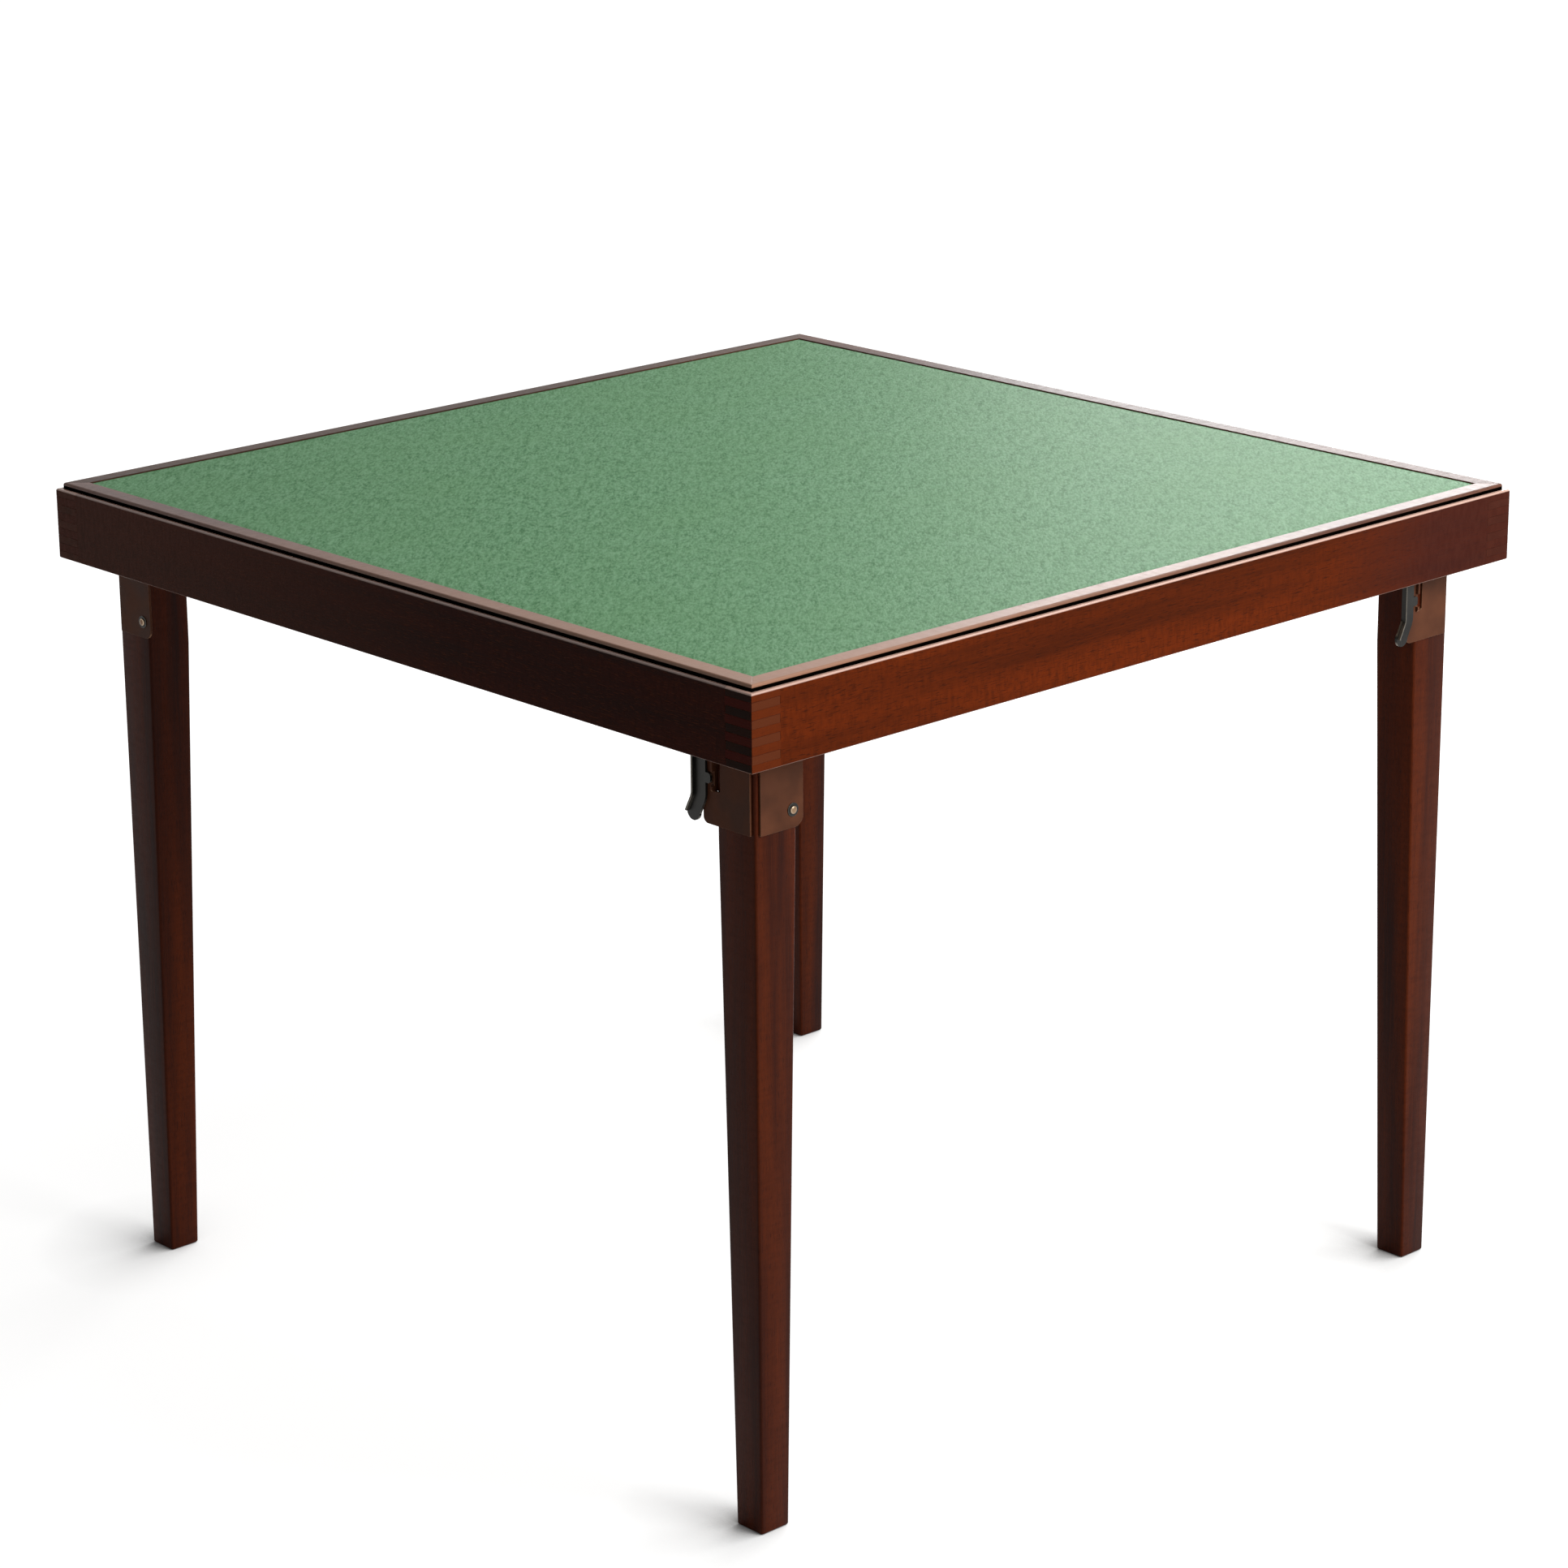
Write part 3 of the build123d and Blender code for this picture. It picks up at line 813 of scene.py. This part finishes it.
def screw_head():
    """A crowned countersunk head along +Z, with its slot along X. Its rim is at z = 0."""
    shape = bmesh.new()
    half_slot = SCREW_SLOT_WIDTH / 2
    turn = math.asin(half_slot / SCREW_HEAD_RADIUS)
    half_count = SCREW_SIDES // 2
    for side in (0, 1):
        start = side * math.pi + turn
        stop = side * math.pi + math.pi - turn
        outline = []
        for step in range(half_count + 1):
            angle = start + (stop - start) * step / half_count
            x, y = math.cos(angle), math.sin(angle)
            outline.append((SCREW_HEAD_RADIUS * x, SCREW_HEAD_RADIUS * y))
        crown = [shape.verts.new((x, y, 0)) for x, y in outline]
        inner = []
        for x, y in outline:
            inner_y = max(abs(y) * SCREW_CROWN_SHARE, half_slot) * (1 - 2 * side)
            inner.append(shape.verts.new((x * SCREW_CROWN_SHARE, inner_y, SCREW_CROWN)))
        foot = [shape.verts.new((x, y, -SCREW_SLOT_DEPTH)) for x, y in outline]
        count = len(outline)
        for index in range(count - 1):
            shape.faces.new((crown[index], crown[index + 1], inner[index + 1], inner[index]))
            shape.faces.new((foot[index], foot[index + 1], crown[index + 1], crown[index]))
        shape.faces.new((crown[0], inner[0], inner[-1], crown[-1], foot[-1], foot[0]))
        shape.faces.new(inner)
    ring = []
    base = []
    for step in range(SCREW_SIDES):
        x, y = on_circle(SCREW_HEAD_RADIUS, step, SCREW_SIDES)
        ring.append(shape.verts.new((x, y, -SCREW_SLOT_DEPTH)))
        foot_place = (x * SCREW_FOOT_SHARE, y * SCREW_FOOT_SHARE, -SCREW_HEAD_DEPTH)
        base.append(shape.verts.new(foot_place))
    for index in range(SCREW_SIDES):
        following = (index + 1) % SCREW_SIDES
        shape.faces.new((base[index], base[following], ring[following], ring[index]))
    shape.faces.new(ring)
    shape.faces.new(list(reversed(base)))
    mesh = finished_mesh(shape, "screw_head_shape", SCREW_SMOOTH)
    return bpy.data.objects.new("screw_head", mesh)


def screw_row_tree():
    """Geometry Nodes: a row of screws, each turned by chance about its own axis."""
    tree = bpy.data.node_groups.new("Screws in a row", "GeometryNodeTree")
    panel = tree.interface
    for name, kind in (
        ("Head", "Object"), ("Count", "Int"), ("First place", "Vector"), ("Step", "Vector"),
        ("Aim", "Vector"), ("Seed", "Int"), ("Material", "Material"),
    ):
        panel.new_socket(name, in_out="INPUT", socket_type="NodeSocket" + kind)
    panel.new_socket("Geometry", in_out="OUTPUT", socket_type="NodeSocketGeometry")
    given = add_node(tree, "NodeGroupInput").outputs
    line = add_node(tree, "GeometryNodeMeshLine", {
        "Count": given["Count"], "Start Location": given["First place"], "Offset": given["Step"],
    })
    head = add_node(tree, "GeometryNodeObjectInfo", {"Object": given["Head"]})
    aimed = add_node(tree, "FunctionNodeAlignRotationToVector", {"Vector": given["Aim"]}, axis="Z")
    chance = add_node(tree, "FunctionNodeRandomValue", {
        "Seed": given["Seed"], 2: 0.0, 3: math.pi,
    }, data_type="FLOAT")
    twist = add_node(tree, "ShaderNodeCombineXYZ", {"Z": chance.outputs[1]})
    turned = add_node(tree, "FunctionNodeRotateRotation", {
        "Rotation": aimed.outputs[0], "Rotate By": twist.outputs[0],
    }, rotation_space="LOCAL")
    placed = add_node(tree, "GeometryNodeInstanceOnPoints", {
        "Points": line.outputs[0], "Instance": head.outputs["Geometry"],
        "Rotation": turned.outputs[0],
    })
    real = add_node(tree, "GeometryNodeRealizeInstances", {0: placed.outputs[0]})
    coated = add_node(tree, "GeometryNodeSetMaterial", {
        "Geometry": real.outputs[0], "Material": given["Material"],
    })
    add_node(tree, "NodeGroupOutput", {0: coated.outputs[0]})
    return tree


def screw_rows(tree, head, rows):
    """One mesh of several rows, each given by its first place, its aim and its seed."""
    joined = bmesh.new()
    sockets = {item.name: item.identifier for item in tree.interface.items_tree}
    for first, aim, seed in rows:
        host = bpy.data.objects.new("screw_host", bpy.data.meshes.new("screw_host"))
        bpy.context.scene.collection.objects.link(host)
        modifier = host.modifiers.new("Screws", "NODES")
        modifier.node_group = tree
        values = {
            "Head": head, "Count": ROW_COUNT, "First place": first,
            "Step": (0, 0, -SCREW_PITCH), "Aim": aim, "Seed": seed,
            "Material": BRIGHT_STEEL,
        }
        for name, value in values.items():
            modifier[sockets[name]] = value
        graph = bpy.context.evaluated_depsgraph_get()
        mesh = bpy.data.meshes.new_from_object(host.evaluated_get(graph))
        joined.from_mesh(mesh)
        host.modifiers.clear()
        bpy.data.objects.remove(host)
    return finished_mesh(joined, "screws_shape", SCREW_SMOOTH)


def make_screws():
    """Screws through the brackets into the rails, and through the catch plates into the legs."""
    tree = screw_row_tree()
    head = screw_head()
    bracket_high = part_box("hinge_bracket_front_left")[1]
    plate_low, plate_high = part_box("catch_plate_front_left")
    leg_low, leg_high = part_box("leg_front_left")
    web_face = plate_low.x - WEB_GAP
    pin_x = (leg_low.x + leg_high.x) / 2
    web_top = bracket_high.z - BRACKET_SCREW_TOP
    end_x = bracket_high.x - BRACKET_SCREW_END
    plate_place = (plate_low.x, plate_low.y + PLATE_SCREW_SIDE, plate_high.z - PLATE_SCREW_TOP)
    bracket_rows = [
        ((web_face, pin_x, web_top), (1, 0, 0), SCREW_SEED),
        ((end_x, web_face, web_top), (0, 1, 0), SCREW_SEED + 1),
    ]
    plate_rows = [(plate_place, (-1, 0, 0), SCREW_SEED + 2)]
    for stem, rows, body in (
        ("bracket_screws_", bracket_rows, "frame"),
        ("plate_screws_", plate_rows, "_leg"),
    ):
        mesh = screw_rows(tree, head, rows)
        corner_pieces(stem, mesh, BRIGHT_STEEL, body)
    bpy.data.objects.remove(head)


# Frame and fittings


def make_frame():
    """Rails, lippings and board."""
    for side in SIDES:
        eased_copy("rail_" + side, RAIL_WOOD[side], "frame", RAIL_EASE)
        eased_copy("lipping_" + side, LIPPING_WOOD[side], "frame", LIPPING_EASE)
    eased_copy("top_board", BOARD, "frame", BOARD_EASE)


def make_fittings():
    """The metal pieces of every corner."""
    for corner in CORNERS:
        leg_body = corner + "_leg"
        catch_body = corner + "_catch"
        rows = [
            ("hinge_bracket_", BRONZED, "bronzed_steel", "frame", FITTING_EASE),
            ("pivot_pin_", BLACKENED, "blackened_steel", "frame", FITTING_EASE),
            ("pivot_spacer_", BLACKENED, "blackened_steel", "frame", FITTING_EASE),
            ("side_plate_", BRONZED, "bronzed_steel", leg_body, PLATE_EASE),
            ("catch_plate_", BRONZED, "bronzed_steel", leg_body, FITTING_EASE),
            ("plate_rivet_", BLACKENED, "fastener_steel", leg_body, FITTING_EASE),
            ("lever_rivet_", BRIGHT_STEEL, "fastener_steel", leg_body, FITTING_EASE),
            ("catch_lever_", BLACKENED, "blackened_steel", catch_body, FITTING_EASE),
            ("lever_spring_", SPRING_STEEL, "spring_steel", catch_body, SPRING_EASE),
        ]
        for stem, material, slot, body, ease in rows:
            piece = eased_copy(stem + corner, material, body, ease)
            if stem == "catch_plate_":
                raise_slot(piece.data)


def raise_slot(mesh):
    """Lift the bottom of a catch plate's slot."""
    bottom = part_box("rail_front")[0].z - SLOT_DROP
    for vertex in mesh.vertices:
        if bottom - SLOT_ROUNDING < vertex.co.z < bottom + 2 * SLOT_ROUNDING:
            vertex.co.z += SLOT_RISE


def make_buttons():
    """The domed middle of each side plate's rivet, in bright steel: partly rubbed bright,
    partly a painted highlight.
    """
    low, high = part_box("plate_rivet_front_left")
    shape = bmesh.new()
    rings = []
    for radius, rise in BUTTON_PROFILE:
        ring = []
        for step in range(BUTTON_SIDES):
            x, z = on_circle(radius, step, BUTTON_SIDES)
            ring.append(shape.verts.new((
                (low.x + high.x) / 2 + x,
                low.y + BUTTON_SEAT - rise,
                (low.z + high.z) / 2 + z,
            )))
        rings.append(ring)
    joined_rings(shape, rings)
    bmesh.ops.recalc_face_normals(shape, faces=shape.faces)
    mesh = finished_mesh(shape, "rivet_button_shape", EASED_SMOOTH)
    corner_pieces("rivet_button_", mesh, BRIGHT_STEEL, "_leg")


# Studio


def aimed_matrix(place, target):
    """A pose at a place, with -Z towards a target."""
    turn = (Vector(target) - Vector(place)).to_track_quat("-Z", "Y")
    return Matrix.Translation(place) @ turn.to_matrix().to_4x4()


def softbox(name, place, target, size, watts):
    """A rectangular white area lamp."""
    lamp = bpy.data.lights.new(name, "AREA")
    lamp.shape = "RECTANGLE"
    lamp.size, lamp.size_y = size
    lamp.energy = watts
    holder = bpy.data.objects.new(name, lamp)
    holder.visible_camera = False
    bpy.context.scene.collection.objects.link(holder)
    holder.matrix_world = aimed_matrix(place, target)


def make_floor():
    """A wide sheet of white paper."""
    shape = bmesh.new()
    bmesh.ops.create_circle(shape, cap_ends=True, segments=FLOOR_SIDES, radius=FLOOR_RADIUS)
    mesh = bpy.data.meshes.new("studio_floor")
    shape.to_mesh(mesh)
    shape.free()
    mesh.materials.append(studio_paper())
    floor = bpy.data.objects.new("studio_floor", mesh)
    floor.location.z = -FLOOR_DROP
    bpy.context.scene.collection.objects.link(floor)


def make_world():
    """White to the camera and in reflections. Its light is stronger from the right."""
    world = bpy.data.worlds.new("studio")
    world.use_nodes = True
    tree = world.node_tree
    tree.nodes.clear()
    direction = add_node(tree, "ShaderNodeTexCoord").outputs["Generated"]
    toward = add_node(tree, "ShaderNodeVectorMath", {
        0: direction, 1: BRIGHT_SIDE,
    }, operation="DOT_PRODUCT").outputs["Value"]
    strength = ranged(tree, (toward, *WORLD_SPREAD, WORLD_LOW, WORLD_HIGH))
    light = add_node(tree, "ShaderNodeBackground", {
        "Color": (1, 1, 1, 1), "Strength": strength,
    }).outputs[0]
    white = add_node(tree, "ShaderNodeBackground", {
        "Color": (1, 1, 1, 1), "Strength": 1.0,
    }).outputs[0]
    mixed = add_node(tree, "ShaderNodeMixShader", {0: shown_rays(tree), 1: light, 2: white})
    add_node(tree, "ShaderNodeOutputWorld", {"Surface": mixed.outputs[0]})
    bpy.context.scene.world = world


def make_camera():
    """The photograph's viewpoint."""
    forward = Vector((
        math.cos(CAMERA_TILT) * math.cos(CAMERA_HEADING),
        math.cos(CAMERA_TILT) * math.sin(CAMERA_HEADING),
        -math.sin(CAMERA_TILT),
    ))
    level = Vector((math.sin(CAMERA_HEADING), -math.cos(CAMERA_HEADING), 0))
    upright = level.cross(forward)
    right = math.cos(CAMERA_ROLL) * level + math.sin(CAMERA_ROLL) * upright
    up = math.cos(CAMERA_ROLL) * upright - math.sin(CAMERA_ROLL) * level
    lens = bpy.data.cameras.new("camera")
    lens.sensor_width = SENSOR_WIDTH
    lens.lens = CAMERA_FOCAL_PIXELS / IMAGE_PIXELS * SENSOR_WIDTH
    lens.clip_end = 100.0
    camera = bpy.data.objects.new("camera", lens)
    bpy.context.scene.collection.objects.link(camera)
    turn = Matrix((right, up, -forward)).transposed().to_4x4()
    camera.matrix_world = Matrix.Translation(CAMERA_PLACE) @ turn
    bpy.context.scene.camera = camera


def make_studio():
    """Floor, world, lamps and camera."""
    make_floor()
    make_world()
    for name, settings in SOFTBOXES.items():
        softbox(name, *settings)
    make_camera()
    bpy.context.scene.view_settings.view_transform = "Standard"


make_frame()
make_baize()
make_legs()
make_fittings()
make_buttons()
make_screws()
make_studio()
